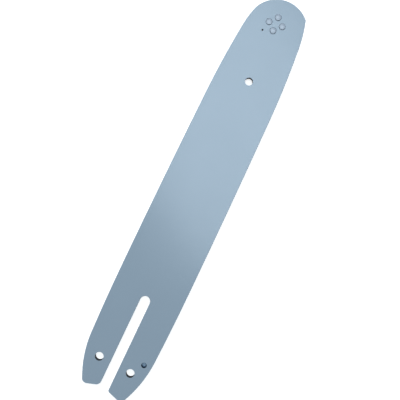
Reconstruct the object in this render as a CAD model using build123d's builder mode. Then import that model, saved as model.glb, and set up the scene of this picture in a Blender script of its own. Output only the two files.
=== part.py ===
from build123d import *
import math
import os

# A chainsaw guide bar with a sprocket nose, lying flat: nose towards +X, front face up.
# Three plates are laid together, and a toothed wheel turns on rollers between the two outer ones.
# The origin is under the middle of the bar, on the surface that it lies on.

# Plates
bar_length = 352.5  # from the nose to the tip of the right prong
bar_width = 59.4  # at the widest place
plate_thickness = 1.4
core_thickness = 1.3  # the chain groove's width
groove_depth = 7.5  # from a rail down to the core's edge
edge_break = 0.25  # chamfer round the outer face of each side plate

# Outline: where its arcs meet, and how far in from the widest place each edge is there
widest_from_tail = 104.5
taper_from_nose = 92.8
taper_narrowing = 1.3
shoulder_from_nose = 31.4
shoulder_narrowing = 4.9
left_corner_from_nose = 15.1  # the nose arc is cut a little askew, so its corners differ
left_corner_narrowing = 8.4
right_corner_from_nose = 7.7
right_corner_narrowing = 9.7
nose_point_offset = 1.6  # how far the foremost point lies to the right of the axis
bend_from_tail = 42.1
bend_narrowing = 1.1
flank_from_tip = 7.1  # from the tip of the prong that it is on
flank_narrowing = 8.7
tail_narrowing = 11.8
tail_slant = 18.0  # degrees, of each prong's end
left_prong_setback = 1.8  # how much shorter the left prong is than the right one
tail_outer_round = 4.2
left_inner_round = 4.4
right_inner_round = 2.0
outer_round_limit = 0.5  # the largest outer round, as a share of the width of a prong's end
inner_round_limit = 0.71  # the largest inner round, as a share of the same width

# Slot and holes: distances from the edge are from the bar's edge at its widest place
slot_width = 8.4
slot_depth = 87.6
tension_hole_diameter = 7.1
tension_hole_from_edge = 15.4
tension_hole_from_tip = 25.4  # from the tip of the prong that it is in
oil_hole_diameter = 4.6
oil_hole_from_edge = 8.1
oil_hole_from_tail = 36.1
oil_notch_margin = 0.6  # the core's notch is wider than the oil hole by this all round
hanging_hole_diameter = 6.4
hanging_hole_from_nose = 72.2
hanging_hole_offset = 0.4  # how far it lies to the left of the axis
grease_hole_diameter = 1.6
grease_hole_angle = 139.0  # degrees from +X about the sprocket's centre

# Nose sprocket and its roller bearing
sprocket_from_nose = 20.9
sprocket_offset = 0.9  # how far its centre lies to the left of the axis
hub_radius = 10.0
roller_diameter = 3.3
roller_gap = 0.08  # the least room between neighbouring rollers
bearing_clearance = 0.03  # on the radius, under and over the rollers
side_clearance = 0.05  # between each turning piece and a side plate
rim_width = 3.0  # of the sprocket's ring, from its bore to the bottom of a gullet
tooth_count = 9
tooth_height = 3.3
tooth_corner_cut = 0.7
gullet_radius = 5.6
pocket_clearance = 1.0  # between the tooth tips and the core
core_end_setback = 13.0  # from the sprocket's centre back to the core's two blunt ends

# Nose rivets
rivet_count = 4
rivet_circle_diameter = 11.4
rivet_turn = 4.0  # degrees, of the diamond about the sprocket's centre
rivet_shank_diameter = 4.6
rivet_head_diameter = 5.2  # at the plate's face
rivet_head_angle = 90.0  # degrees, of the countersink that a head fills
rivet_crown = 0.42  # how far a head stands out of the plate
rivet_bevel = 0.16  # width of the slope round a head's flat top
rivet_clearance = 0.03  # between a shank and its hole, on the radius
rivet_ring_gap = 0.14  # open ring round a head, at the plate's face

# Levels above the surface that the bar lies on
back_face_level = rivet_crown
core_level = back_face_level + plate_thickness
front_plate_level = core_level + core_thickness
front_face_level = front_plate_level + plate_thickness

# Places along and across the bar
nose = bar_length / 2
tail = -bar_length / 2
tail_half_width = bar_width / 2 - tail_narrowing
oil_hole_from_axis = bar_width / 2 - oil_hole_from_edge
slot_end = tail + slot_depth
tension_hole_from_axis = bar_width / 2 - tension_hole_from_edge
oil_hole_x = tail + oil_hole_from_tail
hanging_hole_x = nose - hanging_hole_from_nose
right_tip = tail
left_tip = tail + left_prong_setback
left_tension_hole = (left_tip + tension_hole_from_tip, tension_hole_from_axis)
right_tension_hole = (right_tip + tension_hole_from_tip, -tension_hole_from_axis)
sprocket_centre = (nose - sprocket_from_nose, sprocket_offset)

# Bearing sizes that follow from the hub and the rollers
roller_circle_radius = hub_radius + bearing_clearance + roller_diameter / 2
sprocket_bore_radius = roller_circle_radius + roller_diameter / 2 + bearing_clearance
roller_step = 2 * math.asin((roller_diameter + roller_gap) / 2 / roller_circle_radius)
roller_count = int(2 * math.pi / roller_step)
gullet_bottom_radius = sprocket_bore_radius + rim_width
tooth_tip_radius = gullet_bottom_radius + tooth_height
turning_level = core_level + side_clearance
turning_thickness = core_thickness - 2 * side_clearance

# Rivet sizes, with the holes that take them
rivet_shank_radius = rivet_shank_diameter / 2
rivet_head_radius = rivet_head_diameter / 2
rivet_head_depth = (rivet_head_radius - rivet_shank_radius) / math.tan(math.radians(rivet_head_angle / 2))
rivet_hole_radius = rivet_shank_radius + rivet_clearance
rivet_mouth_radius = rivet_head_radius + rivet_ring_gap

os.makedirs("parts", exist_ok=True)


def prong_end(tip, distance):
    """How far along the bar a prong's slanted end is, at this distance from the axis."""
    return tip + (tail_half_width - distance) * math.tan(math.radians(tail_slant))


def bar_profile(inset):
    """The bar's outline with its rails drawn in by inset, its slot, and the holes that go right through."""
    with BuildSketch() as profile:
        with BuildLine():
            half_width = bar_width / 2 - inset
            nose_corners = []
            slot_points = []
            for side, tip, corner_from_nose, corner_narrowing in (
                (1, left_tip, left_corner_from_nose, left_corner_narrowing),
                (-1, right_tip, right_corner_from_nose, right_corner_narrowing),
            ):
                widest = (tail + widest_from_tail, side * half_width)
                taper = (nose - taper_from_nose, side * (half_width - taper_narrowing))
                shoulder = (nose - shoulder_from_nose, side * (half_width - shoulder_narrowing))
                corner = (nose - corner_from_nose, side * (half_width - corner_narrowing))
                bend = (tail + bend_from_tail, side * (half_width - bend_narrowing))
                flank = (tip + flank_from_tip, side * (half_width - flank_narrowing))
                end_half_width = tail_half_width - inset
                end = (prong_end(tip, end_half_width), side * end_half_width)
                slot_point = (prong_end(tip, 0), 0)
                front_rail = TangentArc(widest, taper, tangent=(1, 0))
                taper_rail = TangentArc(taper, shoulder, tangent=front_rail % 1)
                TangentArc(shoulder, corner, tangent=taper_rail % 1)
                rear_rail = TangentArc(widest, bend, tangent=(-1, 0))
                TangentArc(bend, flank, tangent=rear_rail % 1)
                Line(flank, end)
                Line(end, slot_point)
                nose_corners.append(corner)
                slot_points.append(slot_point)
            ThreePointArc(nose_corners[0], (nose - inset, -nose_point_offset), nose_corners[1])
            Line(slot_points[0], slot_points[1])
        make_face()
        with Locations((slot_end - slot_width / 2, 0)):
            Circle(slot_width / 2, mode=Mode.SUBTRACT)
            Rectangle(slot_depth, slot_width, align=(Align.MAX, Align.CENTER), mode=Mode.SUBTRACT)
        outer_corner = tail_half_width - inset
        end_width = outer_corner - slot_width / 2
        outer_round = min(tail_outer_round, outer_round_limit * end_width)
        for side, tip, inner_round in (
            (1, left_tip, left_inner_round),
            (-1, right_tip, right_inner_round),
        ):
            for distance, round_radius in (
                (slot_width / 2, min(inner_round, inner_round_limit * end_width)),
                (outer_corner, outer_round),
            ):
                corner = (prong_end(tip, distance), side * distance)
                fillet(profile.vertices().sort_by_distance(corner)[0], radius=round_radius)
        with Locations((hanging_hole_x, hanging_hole_offset)):
            Circle(hanging_hole_diameter / 2, mode=Mode.SUBTRACT)
        with Locations(left_tension_hole, right_tension_hole):
            Circle(tension_hole_diameter / 2, mode=Mode.SUBTRACT)
    return profile.sketch


# Side plates: alike but for the oil hole and the grease hole, which change sides on the back plate
# so that the bar works either way up
for name, inner_level, outward in (
    ("front_side_plate", front_plate_level, 1),
    ("back_side_plate", core_level, -1),
):
    outer_level = inner_level + outward * plate_thickness
    rivet_plane = Plane(origin=(*sprocket_centre, outer_level), x_dir=(1, 0, 0), z_dir=(0, 0, outward))
    with BuildPart() as side_plate:
        with BuildSketch(Plane.XY.offset(inner_level)):
            add(bar_profile(0))
            with Locations((oil_hole_x, -outward * oil_hole_from_axis)):
                Circle(oil_hole_diameter / 2, mode=Mode.SUBTRACT)
            with Locations(sprocket_centre):
                with PolarLocations(roller_circle_radius, 1, start_angle=outward * grease_hole_angle):
                    Circle(grease_hole_diameter / 2, mode=Mode.SUBTRACT)
        extrude(amount=outward * plate_thickness)
        outer_face = side_plate.faces().sort_by(Axis((0, 0, 0), (0, 0, outward)))[-1]
        chamfer(outer_face.outer_wire().edges(), length=edge_break)
        with Locations(rivet_plane):
            with PolarLocations(rivet_circle_diameter / 2, rivet_count, start_angle=outward * rivet_turn):
                CounterSinkHole(rivet_hole_radius, rivet_mouth_radius, plate_thickness, rivet_head_angle)
    side_plate.part.label = name
    export_step(side_plate.part, f"parts/{name}.step")

# Core plate: the chain groove's floor, with a notch that lets oil from each oil hole into the groove.
# It ends behind the sprocket, in a round pocket that leaves room for the teeth.
with BuildPart() as core_plate:
    with BuildSketch(Plane.XY.offset(core_level)):
        add(bar_profile(groove_depth))
        with Locations((oil_hole_x, 0)):
            with GridLocations(0, 2 * oil_hole_from_axis, 1, 2):
                Circle(oil_hole_diameter / 2 + oil_notch_margin, mode=Mode.SUBTRACT)
        with Locations(sprocket_centre):
            Circle(tooth_tip_radius + pocket_clearance, mode=Mode.SUBTRACT)
        with Locations((sprocket_centre[0] - core_end_setback, 0)):
            Rectangle(bar_length, bar_width, align=(Align.MIN, Align.CENTER), mode=Mode.SUBTRACT)
    extrude(amount=core_thickness)
core_plate.part.label = "core_plate"
export_step(core_plate.part, "parts/core_plate.step")

# Nose sprocket: a flat ring whose round gullets take the tangs of the chain's drive links
with BuildPart() as nose_sprocket:
    with BuildSketch(Plane.XY.offset(turning_level)) as star:
        with Locations(sprocket_centre):
            Circle(tooth_tip_radius)
            with PolarLocations(gullet_bottom_radius + gullet_radius, tooth_count):
                Circle(gullet_radius, mode=Mode.SUBTRACT)
        chamfer(star.vertices(), length=tooth_corner_cut)
        with Locations(sprocket_centre):
            Circle(sprocket_bore_radius, mode=Mode.SUBTRACT)
    extrude(amount=turning_thickness)
nose_sprocket.part.label = "nose_sprocket"
export_step(nose_sprocket.part, "parts/nose_sprocket.step")

# Bearing hub: the fixed inner race, which spaces the side plates and carries the rivets
with BuildPart() as bearing_hub:
    with BuildSketch(Plane.XY.offset(core_level)):
        with Locations(sprocket_centre):
            Circle(hub_radius)
            with PolarLocations(rivet_circle_diameter / 2, rivet_count, start_angle=rivet_turn):
                Circle(rivet_hole_radius, mode=Mode.SUBTRACT)
    extrude(amount=core_thickness)
bearing_hub.part.label = "bearing_hub"
export_step(bearing_hub.part, "parts/bearing_hub.step")

# Nose rivets: a shank whose ends are formed into the plates' countersinks, with low flat heads
middle_level = (back_face_level + front_face_level) / 2
with BuildPart() as rivet:
    with BuildSketch(Plane.XZ):
        with BuildLine():
            Polyline(
                (0, middle_level),
                (rivet_shank_radius, middle_level),
                (rivet_shank_radius, front_face_level - rivet_head_depth),
                (rivet_head_radius, front_face_level),
                (rivet_head_radius - rivet_bevel, front_face_level + rivet_crown),
                (0, front_face_level + rivet_crown),
                close=True,
            )
        make_face()
    revolve(axis=Axis.Z)
    mirror(about=Plane.XY.offset(middle_level))
with BuildPart() as nose_rivets:
    with Locations(sprocket_centre):
        with PolarLocations(rivet_circle_diameter / 2, rivet_count, start_angle=rivet_turn):
            add(rivet.part)
nose_rivets.part.label = "nose_rivets"
export_step(nose_rivets.part, "parts/nose_rivets.step")

# Bearing rollers: a full set, loose between the hub and the sprocket
for number in range(1, roller_count + 1):
    angle = 2 * math.pi * number / roller_count
    roller_x = sprocket_centre[0] + roller_circle_radius * math.cos(angle)
    roller_y = sprocket_centre[1] + roller_circle_radius * math.sin(angle)
    with BuildPart() as bearing_roller:
        with BuildSketch(Plane.XY.offset(turning_level)):
            with Locations((roller_x, roller_y)):
                Circle(roller_diameter / 2)
        extrude(amount=turning_thickness)
    name = f"bearing_roller_{number:02d}"
    bearing_roller.part.label = name
    export_step(bearing_roller.part, f"parts/{name}.step")
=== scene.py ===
"""A chainsaw guide bar flat on a white table, seen from straight above in soft studio light."""

import math

import bmesh
import bpy
import numpy as np
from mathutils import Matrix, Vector


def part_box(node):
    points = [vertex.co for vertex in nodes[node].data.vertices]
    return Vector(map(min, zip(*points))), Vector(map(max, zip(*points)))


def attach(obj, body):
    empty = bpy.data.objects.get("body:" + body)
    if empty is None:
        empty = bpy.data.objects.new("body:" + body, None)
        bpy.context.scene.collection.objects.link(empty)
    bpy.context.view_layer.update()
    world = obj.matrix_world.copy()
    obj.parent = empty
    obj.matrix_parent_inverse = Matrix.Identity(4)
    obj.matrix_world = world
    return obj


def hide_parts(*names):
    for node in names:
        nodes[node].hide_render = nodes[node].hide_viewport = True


MM = 0.001  # in metres, as all lengths are

# Camera, placed from the bar's front face and its middle
LENS = 40.5  # in mm, as the camera takes it
SENSOR_WIDTH = 36.0  # in mm too
CAMERA_HEIGHT = 364.5 * MM
CAMERA_OVER = (0.35 * MM, -5.0 * MM)
CAMERA_TURN = math.radians(-64.55)
CAMERA_NEAR = 1 * MM  # nothing nearer than this is drawn

# The softbox hangs over the nose half, and its slanted edge shows as a soft step on the enamel
SOFTBOX_LENGTH = 1.2
SOFTBOX_WIDTH = 1.3
SOFTBOX_HEIGHT = 2.0
SOFTBOX_EDGE = (-0.2, 0.03)  # a point on the edge that is nearest to the tail
SOFTBOX_SHIFT = 0.35  # of its middle along that edge
SOFTBOX_TURN = math.radians(-30)
SOFTBOX_RADIANCE = 5.3
SOFTBOX_COLOUR = "DFF1FF"

# A lamp beyond the nose shades the sides of the rivet heads that face the tail. It lights the
# enamel but stays out of its gloss, as behind a polarising sheet, because its glare would turn the
# bar white
NOSE_LAMP_SIZE = 1.8
NOSE_LAMP_DISTANCE = 4.0
NOSE_LAMP_ELEVATION = math.radians(30)
NOSE_LAMP_AZIMUTH = math.radians(25)  # from the bar's axis to its left
NOSE_LAMP_RADIANCE = 11.2

# Room and floor
WHITE = "FFFFFF"
WHITE_STRENGTH = 1.0  # of a glow that shows as white
ROOM_RADIANCE = 0.12
FLOOR_SIZE = 6.0
FLOOR_GLOW = (0.7, WHITE_STRENGTH)  # near the bar, where the lamps add the rest, and far from it
FLOOR_FADE = (0.5, 2.0)  # how far from the bar the glow starts to rise, and how far it has risen
PAPER_GRAIN = 2 * MM
PAPER_COLOURS = ("D2D2D2", "CECECE")
PAPER_ROUGHNESS = 0.9

# Enamel
CLOUD_SIZE = 35 * MM  # of the faint clouds in its colour and sheen
CLOUD_DETAIL = 3.0
SHEEN_SPREAD = 0.02  # how far the roughness strays to each side
PEEL_SIZE = 1.6 * MM  # of the orange peel
PEEL_DETAIL = 1.0
PEEL_HEIGHT = 0.02 * MM
PEEL_STRENGTH = 0.15
ENAMEL_IOR = 1.5

# Bare steel
MARK_DETAIL = 4.0
DULL_SPREAD = 0.06  # how far the roughness strays to each side

# Sockets of a Mix node for colours: the share, the two colours and the result
MIX_SHARE, MIX_FROM, MIX_TO = 0, 6, 7
MIX_RESULT = 2

# How faces and edges are told apart
WALL_LEAN = 0.2  # a wall's normal leans up or down by less than this
FACE_LEAN = 0.95  # and a flat face's normal by more than this
NOSEWARD_LEAN = 0.1  # a wall that looks to the nose leans that way by more than this
FLAT_TURN = math.radians(1)  # faces that turn by less than this are one flat face
CREASE = math.radians(30)  # edges that turn by more than this stay sharp
IN_FRONT = 0.05 * MM  # a point this far in front of a wall keeps the wall off the outline
TOUCH = 0.001 * MM  # what lies closer than this is in one place

# Rivets: their circle round the sprocket's middle, and their heads
RIVET_MIDDLE = (155.35 * MM, 0.9 * MM)
RIVET_RADIUS = 5.7 * MM
RIVET_START = 4  # degrees from the bar's axis to the first rivet
RIVET_TURNS = [math.radians(RIVET_START + 90 * quarter) for quarter in range(4)]
RIVET_PLACES = [
    (
        RIVET_MIDDLE[0] + RIVET_RADIUS * math.cos(turn),
        RIVET_MIDDLE[1] + RIVET_RADIUS * math.sin(turn),
    )
    for turn in RIVET_TURNS
]
HEAD_ROUND = 0.12 * MM
HEAD_SEGMENTS = 3
HEAD_SHADE_FADE = (0.2 * MM, 2.0 * MM)  # from a rivet's axis, where the painted shade on its head starts and ends darkening

# Axes of the small holes, in the front plate and in the back plate
OIL_HOLES = ((-140.15 * MM, -21.6 * MM), (-140.15 * MM, 21.6 * MM))
GREASE_HOLES = ((146.54 * MM, 8.56 * MM), (146.54 * MM, -6.76 * MM))
GREASE_HOLE_REACH = 1.2 * MM  # the hole's wall lies within this of its axis
LIGHT_POOL_FADE = (1.0 * MM, 2.2 * MM)  # from an oil hole's axis, where its painted pool of light starts and ends fading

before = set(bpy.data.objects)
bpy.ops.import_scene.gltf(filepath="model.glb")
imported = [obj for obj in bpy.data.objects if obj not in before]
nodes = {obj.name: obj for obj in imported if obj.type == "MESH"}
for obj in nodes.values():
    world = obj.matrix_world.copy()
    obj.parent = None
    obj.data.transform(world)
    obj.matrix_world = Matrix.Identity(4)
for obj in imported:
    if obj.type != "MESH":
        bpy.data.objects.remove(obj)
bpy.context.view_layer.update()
front_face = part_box("front_side_plate")[1].z


def linear(hex_colour):
    """An sRGB hex colour as a linear RGBA value."""
    channels = [int(hex_colour[i : i + 2], 16) / 255 for i in (0, 2, 4)]
    return [c / 12.92 if c <= 0.04045 else ((c + 0.055) / 1.055) ** 2.4 for c in channels] + [1.0]


def add_node(tree, kind, inputs, **settings):
    """Add a node: inputs are values or other nodes' outputs, settings its own properties."""
    made = tree.nodes.new(kind)
    for name, value in settings.items():
        setattr(made, name, value)
    for name, value in inputs.items():
        if isinstance(value, bpy.types.NodeSocket):
            tree.links.new(value, made.inputs[name])
        else:
            made.inputs[name].default_value = value
    return made


def new_material(name):
    """A material with its node tree, its shader, and the place on a piece in object coordinates."""
    material = bpy.data.materials.new(name)
    material.use_nodes = True
    tree = material.node_tree
    place = add_node(tree, "ShaderNodeTexCoord", {}).outputs["Object"]
    return material, tree, tree.nodes["Principled BSDF"], place


def satin_enamel(name, light, dark, roughness, gloss):
    """Enamel sprayed on steel and baked: an even colour, a soft sheen and a faint orange peel."""
    material, tree, shader, place = new_material(name)
    clouds = add_node(
        tree,
        "ShaderNodeTexNoise",
        {"Vector": place, "Scale": 1 / CLOUD_SIZE, "Detail": CLOUD_DETAIL},
    )
    shade = add_node(
        tree,
        "ShaderNodeMix",
        {MIX_SHARE: clouds.outputs["Fac"], MIX_FROM: linear(light), MIX_TO: linear(dark)},
        data_type="RGBA",
    )
    sheen = add_node(
        tree,
        "ShaderNodeMapRange",
        {
            "Value": clouds.outputs["Fac"],
            "To Min": roughness - SHEEN_SPREAD,
            "To Max": roughness + SHEEN_SPREAD,
        },
    )
    peel = add_node(
        tree,
        "ShaderNodeTexNoise",
        {"Vector": place, "Scale": 1 / PEEL_SIZE, "Detail": PEEL_DETAIL},
    )
    bump = add_node(
        tree,
        "ShaderNodeBump",
        {"Height": peel.outputs["Fac"], "Strength": PEEL_STRENGTH, "Distance": PEEL_HEIGHT},
    )
    tree.links.new(shade.outputs[MIX_RESULT], shader.inputs["Base Color"])
    tree.links.new(sheen.outputs["Result"], shader.inputs["Roughness"])
    tree.links.new(bump.outputs["Normal"], shader.inputs["Normal"])
    shader.inputs["IOR"].default_value = ENAMEL_IOR
    shader.inputs["Specular IOR Level"].default_value = gloss
    return material


def paint_round_light_patches(material, outside_colour, patches, fade):
    """Paint light and shade in round patches: a material's own colour inside each, another colour
    outside.
    """
    tree = material.node_tree
    place = tree.nodes["Texture Coordinate"].outputs["Object"]
    colour = tree.nodes["Principled BSDF"].inputs["Base Color"]
    enamel = colour.links[0].from_socket
    shown = linear(outside_colour)
    for patch in patches:
        offset = add_node(
            tree,
            "ShaderNodeVectorMath",
            {0: place, 1: (*patch, 0)},
            operation="SUBTRACT",
        )
        flat = add_node(
            tree,
            "ShaderNodeVectorMath",
            {0: offset.outputs["Vector"], 1: (1, 1, 0)},
            operation="MULTIPLY",
        )
        reach = add_node(
            tree,
            "ShaderNodeVectorMath",
            {0: flat.outputs["Vector"]},
            operation="LENGTH",
        )
        patch_share = add_node(
            tree,
            "ShaderNodeMapRange",
            {"Value": reach.outputs["Value"], "From Min": fade[1], "From Max": fade[0]},
            interpolation_type="SMOOTHSTEP",
        )
        shown = add_node(
            tree,
            "ShaderNodeMix",
            {MIX_SHARE: patch_share.outputs["Result"], MIX_FROM: shown, MIX_TO: enamel},
            data_type="RGBA",
        ).outputs[MIX_RESULT]
    tree.links.new(shown, colour)


def worked_steel(name, light, dark, mark_size, roughness):
    """Bare steel with the marks that its working left: mark_size is their reach in X, Y and Z."""
    material, tree, shader, place = new_material(name)
    stretched = add_node(
        tree,
        "ShaderNodeMapping",
        {"Vector": place, "Scale": [1 / size for size in mark_size]},
    )
    marks = add_node(
        tree,
        "ShaderNodeTexNoise",
        {"Vector": stretched.outputs["Vector"], "Scale": 1.0, "Detail": MARK_DETAIL},
    )
    shade = add_node(
        tree,
        "ShaderNodeMix",
        {MIX_SHARE: marks.outputs["Fac"], MIX_FROM: linear(light), MIX_TO: linear(dark)},
        data_type="RGBA",
    )
    dulling = add_node(
        tree,
        "ShaderNodeMapRange",
        {
            "Value": marks.outputs["Fac"],
            "To Min": roughness - DULL_SPREAD,
            "To Max": roughness + DULL_SPREAD,
        },
    )
    tree.links.new(shade.outputs[MIX_RESULT], shader.inputs["Base Color"])
    tree.links.new(dulling.outputs["Result"], shader.inputs["Roughness"])
    shader.inputs["Metallic"].default_value = 1.0
    return material


# Grey-blue satin enamel on the side plates: the sheen blurs a lamp into a broad pale field
plate_enamel = satin_enamel("satin_enamel_plate", "8A9CAA", "8698A6", roughness=0.225, gloss=0.5)
# The same enamel on the rivet heads, with a painted highlight in the middle of each head and
# painted shade that darkens it towards the rim, standing in for the shading of a domed head
rivet_enamel_painted_dome = satin_enamel("rivet_enamel_painted_highlight_and_shade", "9FABB8", "9BA7B4", roughness=0.225, gloss=0.5)
# Painted highlight and shade: each head fades from its pale middle to a darker colour at the rim
paint_round_light_patches(rivet_enamel_painted_dome, "909CA9", RIVET_PLACES, HEAD_SHADE_FADE)
# The plates' inner faces: dark blue-grey steel, partly painted shade, with a painted pool of light
# under each oil hole, where light through the hole falls
inner_face_painted_light = satin_enamel("inner_face_painted_light_pools", "9DB3C6", "96ACC0", roughness=0.5, gloss=0.2)
paint_round_light_patches(inner_face_painted_light, "33475D", OIL_HOLES, LIGHT_POOL_FADE)
# Punched walls of the holes: near-black, as painted shade inside them
hole_wall_painted_shade = satin_enamel("punched_wall_painted_shade", "1C2126", "15191D", roughness=0.6, gloss=0.1)
# Rails ground after painting: bright bare steel with lines that run along the edge, drawn coarser
# than a grinding wheel leaves them, so that they show
rail_steel = worked_steel(
    "ground_rail_steel",
    "A9ABAD",
    "8E9093",
    mark_size=(9 * MM, 9 * MM, 0.12 * MM),
    roughness=0.34,
)
# Cold-rolled sheet between the plates: dull dark grey with broad soft mottling
core_steel = worked_steel(
    "cold_rolled_core_steel",
    "363B41",
    "2A2F34",
    mark_size=(8 * MM, 3 * MM, 3 * MM),
    roughness=0.55,
)
# Hardened and tempered sprocket: dark, slightly straw-coloured steel
sprocket_steel = worked_steel(
    "tempered_sprocket_steel",
    "6F6A64",
    "57524E",
    mark_size=(2 * MM, 2 * MM, 2 * MM),
    roughness=0.42,
)
# Bearing steel under a film of dark grease: dull, with faint rings from its turning
bearing_steel = worked_steel(
    "greased_bearing_steel",
    "4A4844",
    "3A3835",
    mark_size=(4 * MM, 4 * MM, 0.1 * MM),
    roughness=0.5,
)

# CAD nodes: the hub and the rollers take the bearing steel
node_finishes = {
    "front_side_plate": plate_enamel,
    "back_side_plate": plate_enamel,
    "core_plate": core_steel,
    "nose_rivets": rivet_enamel_painted_dome,
    "nose_sprocket": sprocket_steel,
}
for node_name, node in nodes.items():
    node.data.materials.clear()
    node.data.materials.append(node_finishes.get(node_name, bearing_steel))


def welded_copy(node_name):
    """A bmesh of a CAD node whose triangles are joined at their corners."""
    mesh = bmesh.new()
    mesh.from_mesh(nodes[node_name].data)
    bmesh.ops.remove_doubles(mesh, verts=mesh.verts, dist=TOUCH)
    return mesh


def finish_piece(mesh, name, node_name, body, materials):
    """Turn a bmesh into a smooth-shaded piece that stands for a CAD node and rides on its body."""
    for edge in mesh.edges:
        edge.smooth = edge.calc_face_angle(0.0) < CREASE
    for face in mesh.faces:
        face.smooth = True
    data = bpy.data.meshes.new(name)
    mesh.to_mesh(data)
    mesh.free()
    for material in materials:
        data.materials.append(material)
    piece = bpy.data.objects.new(name, data)
    bpy.context.scene.collection.objects.link(piece)
    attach(piece, body)
    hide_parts(node_name)


def joined_faces(start, allowed):
    """All the allowed faces that hang together with the start faces."""
    found = set(start)
    waiting = list(start)
    while waiting:
        for edge in waiting.pop().edges:
            for face in edge.link_faces:
                if face in allowed and face not in found:
                    found.add(face)
                    waiting.append(face)
    return found


def plate_walls(mesh):
    """A plate's faces that aren't flat: all of them, those on its outline, and those in holes."""
    points = np.array([vert.co for vert in mesh.verts])
    slopes = {face for face in mesh.faces if abs(face.normal.z) < FACE_LEAN}
    rails = set()
    for face in slopes:
        beyond = (points @ np.array(face.normal)).max() - face.verts[0].co.dot(face.normal)
        if abs(face.normal.z) < WALL_LEAN and beyond < IN_FRONT:
            rails.add(face)
    return slopes, rails, slopes - joined_faces(rails, slopes)


# Side plates: enamel on the outer face, the slot, the prong ends and in the fine grease hole, bare
# rails along the outline, painted shade on the punched holes' walls, and a dark inner face with
# a painted pool of light under each oil hole
plate_finishes = (plate_enamel, rail_steel, hole_wall_painted_shade, inner_face_painted_light)
for node_name, outward, grease_hole in (
    ("front_side_plate", 1, GREASE_HOLES[0]),
    ("back_side_plate", -1, GREASE_HOLES[1]),
):
    mesh = welded_copy(node_name)
    _, rails, holes = plate_walls(mesh)
    axis = Vector(grease_hole)
    for face in mesh.faces:
        finish = plate_enamel
        # Inner faces: dark, with a painted pool of light under each oil hole
        if face.normal.z * outward < -FACE_LEAN:
            finish = inner_face_painted_light
        elif face in rails:
            finish = rail_steel
        elif face in holes and (face.calc_center_median().xy - axis).length > GREASE_HOLE_REACH:
            finish = hole_wall_painted_shade
        face.material_index = plate_finishes.index(finish)
    finish_piece(
        mesh,
        node_name.replace("_side_plate", "_plate"),
        node_name,
        "bar",
        plate_finishes,
    )

# Core plate: enamel where it lies flush with the side plates, in the slot and on the prong ends,
# which look to the axis or the tail, and painted shade on the walls of the punched holes
core_finishes = (core_steel, plate_enamel, hole_wall_painted_shade)
mesh = welded_copy("core_plate")
slopes, _, holes = plate_walls(mesh)
for face in slopes:
    to_axis = face.normal.y * face.calc_center_median().y < TOUCH
    # Walls of the punched holes take the painted shade
    if face in holes:
        face.material_index = core_finishes.index(hole_wall_painted_shade)
    elif to_axis and face.normal.x < NOSEWARD_LEAN:
        face.material_index = core_finishes.index(plate_enamel)
finish_piece(mesh, "core", "core_plate", "bar", core_finishes)

# Rivets: the heads' corners are rounded by setting and by the enamel
mesh = welded_copy("nose_rivets")
bmesh.ops.dissolve_limit(mesh, angle_limit=FLAT_TURN, verts=mesh.verts, edges=mesh.edges)
head_levels = [corner.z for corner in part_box("nose_rivets")]
rims = [
    edge
    for edge in mesh.edges
    if edge.calc_face_angle(0.0) > CREASE
    and any(all(abs(vert.co.z - level) < TOUCH for vert in edge.verts) for level in head_levels)
]
bmesh.ops.bevel(
    mesh,
    geom=rims,
    offset=HEAD_ROUND,
    offset_type="OFFSET",
    affect="EDGES",
    segments=HEAD_SEGMENTS,
    profile=0.5,
    material=-1,
)
finish_piece(mesh, "rivets", "nose_rivets", "bar", (rivet_enamel_painted_dome,))


def seen_rays(tree):
    """1 for what the camera sees, also in gloss or through glass, and 0 for light on things."""
    light_path = add_node(tree, "ShaderNodeLightPath", {})
    mirrored = add_node(
        tree,
        "ShaderNodeMath",
        {0: light_path.outputs["Is Glossy Ray"], 1: light_path.outputs["Is Transmission Ray"]},
        operation="ADD",
    )
    seen = add_node(
        tree,
        "ShaderNodeMath",
        {0: light_path.outputs["Is Camera Ray"], 1: mirrored.outputs[0]},
        operation="ADD",
        use_clamp=True,
    )
    return seen.outputs[0]


# Floor: a white sheet of paper that keeps the bar's shadow and reads as white
floor_material, tree, shader, place = new_material("white_paper_floor")
floor_data = bpy.data.meshes.new("floor")
mesh = bmesh.new()
bmesh.ops.create_grid(mesh, x_segments=1, y_segments=1, size=FLOOR_SIZE / 2)
mesh.to_mesh(floor_data)
mesh.free()
floor_data.materials.append(floor_material)
floor = bpy.data.objects.new("floor", floor_data)
bpy.context.scene.collection.objects.link(floor)
paper = add_node(tree, "ShaderNodeTexNoise", {"Vector": place, "Scale": 1 / PAPER_GRAIN})
paper_shade = add_node(
    tree,
    "ShaderNodeMix",
    {
        MIX_SHARE: paper.outputs["Fac"],
        MIX_FROM: linear(PAPER_COLOURS[0]),
        MIX_TO: linear(PAPER_COLOURS[1]),
    },
    data_type="RGBA",
)
tree.links.new(paper_shade.outputs[MIX_RESULT], shader.inputs["Base Color"])
shader.inputs["Roughness"].default_value = PAPER_ROUGHNESS
shader.inputs["Emission Color"].default_value = linear(WHITE)
from_bar = add_node(tree, "ShaderNodeVectorMath", {0: place}, operation="LENGTH")
rise = add_node(
    tree,
    "ShaderNodeMapRange",
    {
        "Value": from_bar.outputs["Value"],
        "From Min": FLOOR_FADE[0],
        "From Max": FLOOR_FADE[1],
        "To Min": FLOOR_GLOW[0],
        "To Max": FLOOR_GLOW[1],
    },
)
glow = add_node(
    tree,
    "ShaderNodeMath",
    {0: seen_rays(tree), 1: rise.outputs["Result"]},
    operation="MULTIPLY",
)
tree.links.new(glow.outputs[0], shader.inputs["Emission Strength"])

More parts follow.
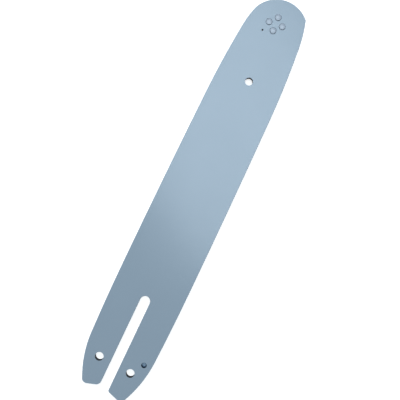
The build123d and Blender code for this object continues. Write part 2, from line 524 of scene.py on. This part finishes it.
# Room: even light from all sides, which reads as white
world = bpy.data.worlds.new("studio")
bpy.context.scene.world = world
world.use_nodes = True
tree = world.node_tree
background = tree.nodes["Background"]
strength = add_node(
    tree,
    "ShaderNodeMapRange",
    {"Value": seen_rays(tree), "To Min": ROOM_RADIANCE, "To Max": WHITE_STRENGTH},
)
tree.links.new(strength.outputs["Result"], background.inputs["Strength"])
background.inputs["Color"].default_value = linear(WHITE)


def add_panel(name, length, width, radiance, colour, place, rotation, in_gloss):
    """A flat lamp of an even radiance that shines down its own -Z axis, and may show in gloss."""
    data = bpy.data.lights.new(name, "AREA")
    data.shape = "RECTANGLE"
    data.size = length
    data.size_y = width
    data.energy = radiance * math.pi * length * width
    data.color = linear(colour)[:3]
    panel = bpy.data.objects.new(name, data)
    bpy.context.scene.collection.objects.link(panel)
    panel.location = place
    panel.rotation_euler = rotation
    panel.visible_glossy = in_gloss


along = Vector((math.cos(SOFTBOX_TURN), math.sin(SOFTBOX_TURN), 0))
across = Vector((-along.y, along.x, 0))
add_panel(
    "softbox",
    SOFTBOX_LENGTH,
    SOFTBOX_WIDTH,
    SOFTBOX_RADIANCE,
    SOFTBOX_COLOUR,
    Vector((*SOFTBOX_EDGE, SOFTBOX_HEIGHT)) + along * SOFTBOX_LENGTH / 2 + across * SOFTBOX_SHIFT,
    (0, 0, SOFTBOX_TURN),
    in_gloss=True,
)
level_part = NOSE_LAMP_DISTANCE * math.cos(NOSE_LAMP_ELEVATION)
to_lamp = Vector(
    (
        level_part * math.cos(NOSE_LAMP_AZIMUTH),
        level_part * math.sin(NOSE_LAMP_AZIMUTH),
        NOSE_LAMP_DISTANCE * math.sin(NOSE_LAMP_ELEVATION),
    )
)
add_panel(
    "nose_lamp",
    NOSE_LAMP_SIZE,
    NOSE_LAMP_SIZE,
    NOSE_LAMP_RADIANCE,
    WHITE,
    to_lamp,
    to_lamp.to_track_quat("Z", "Y").to_euler(),
    in_gloss=False,
)

# Camera
camera_data = bpy.data.cameras.new("camera")
camera_data.lens = LENS
camera_data.sensor_width = SENSOR_WIDTH
camera_data.clip_start = CAMERA_NEAR
camera = bpy.data.objects.new("camera", camera_data)
bpy.context.scene.collection.objects.link(camera)
camera.location = (*CAMERA_OVER, front_face + CAMERA_HEIGHT)
camera.rotation_euler = (0, 0, CAMERA_TURN)
bpy.context.scene.camera = camera
bpy.context.scene.view_settings.view_transform = "Standard"
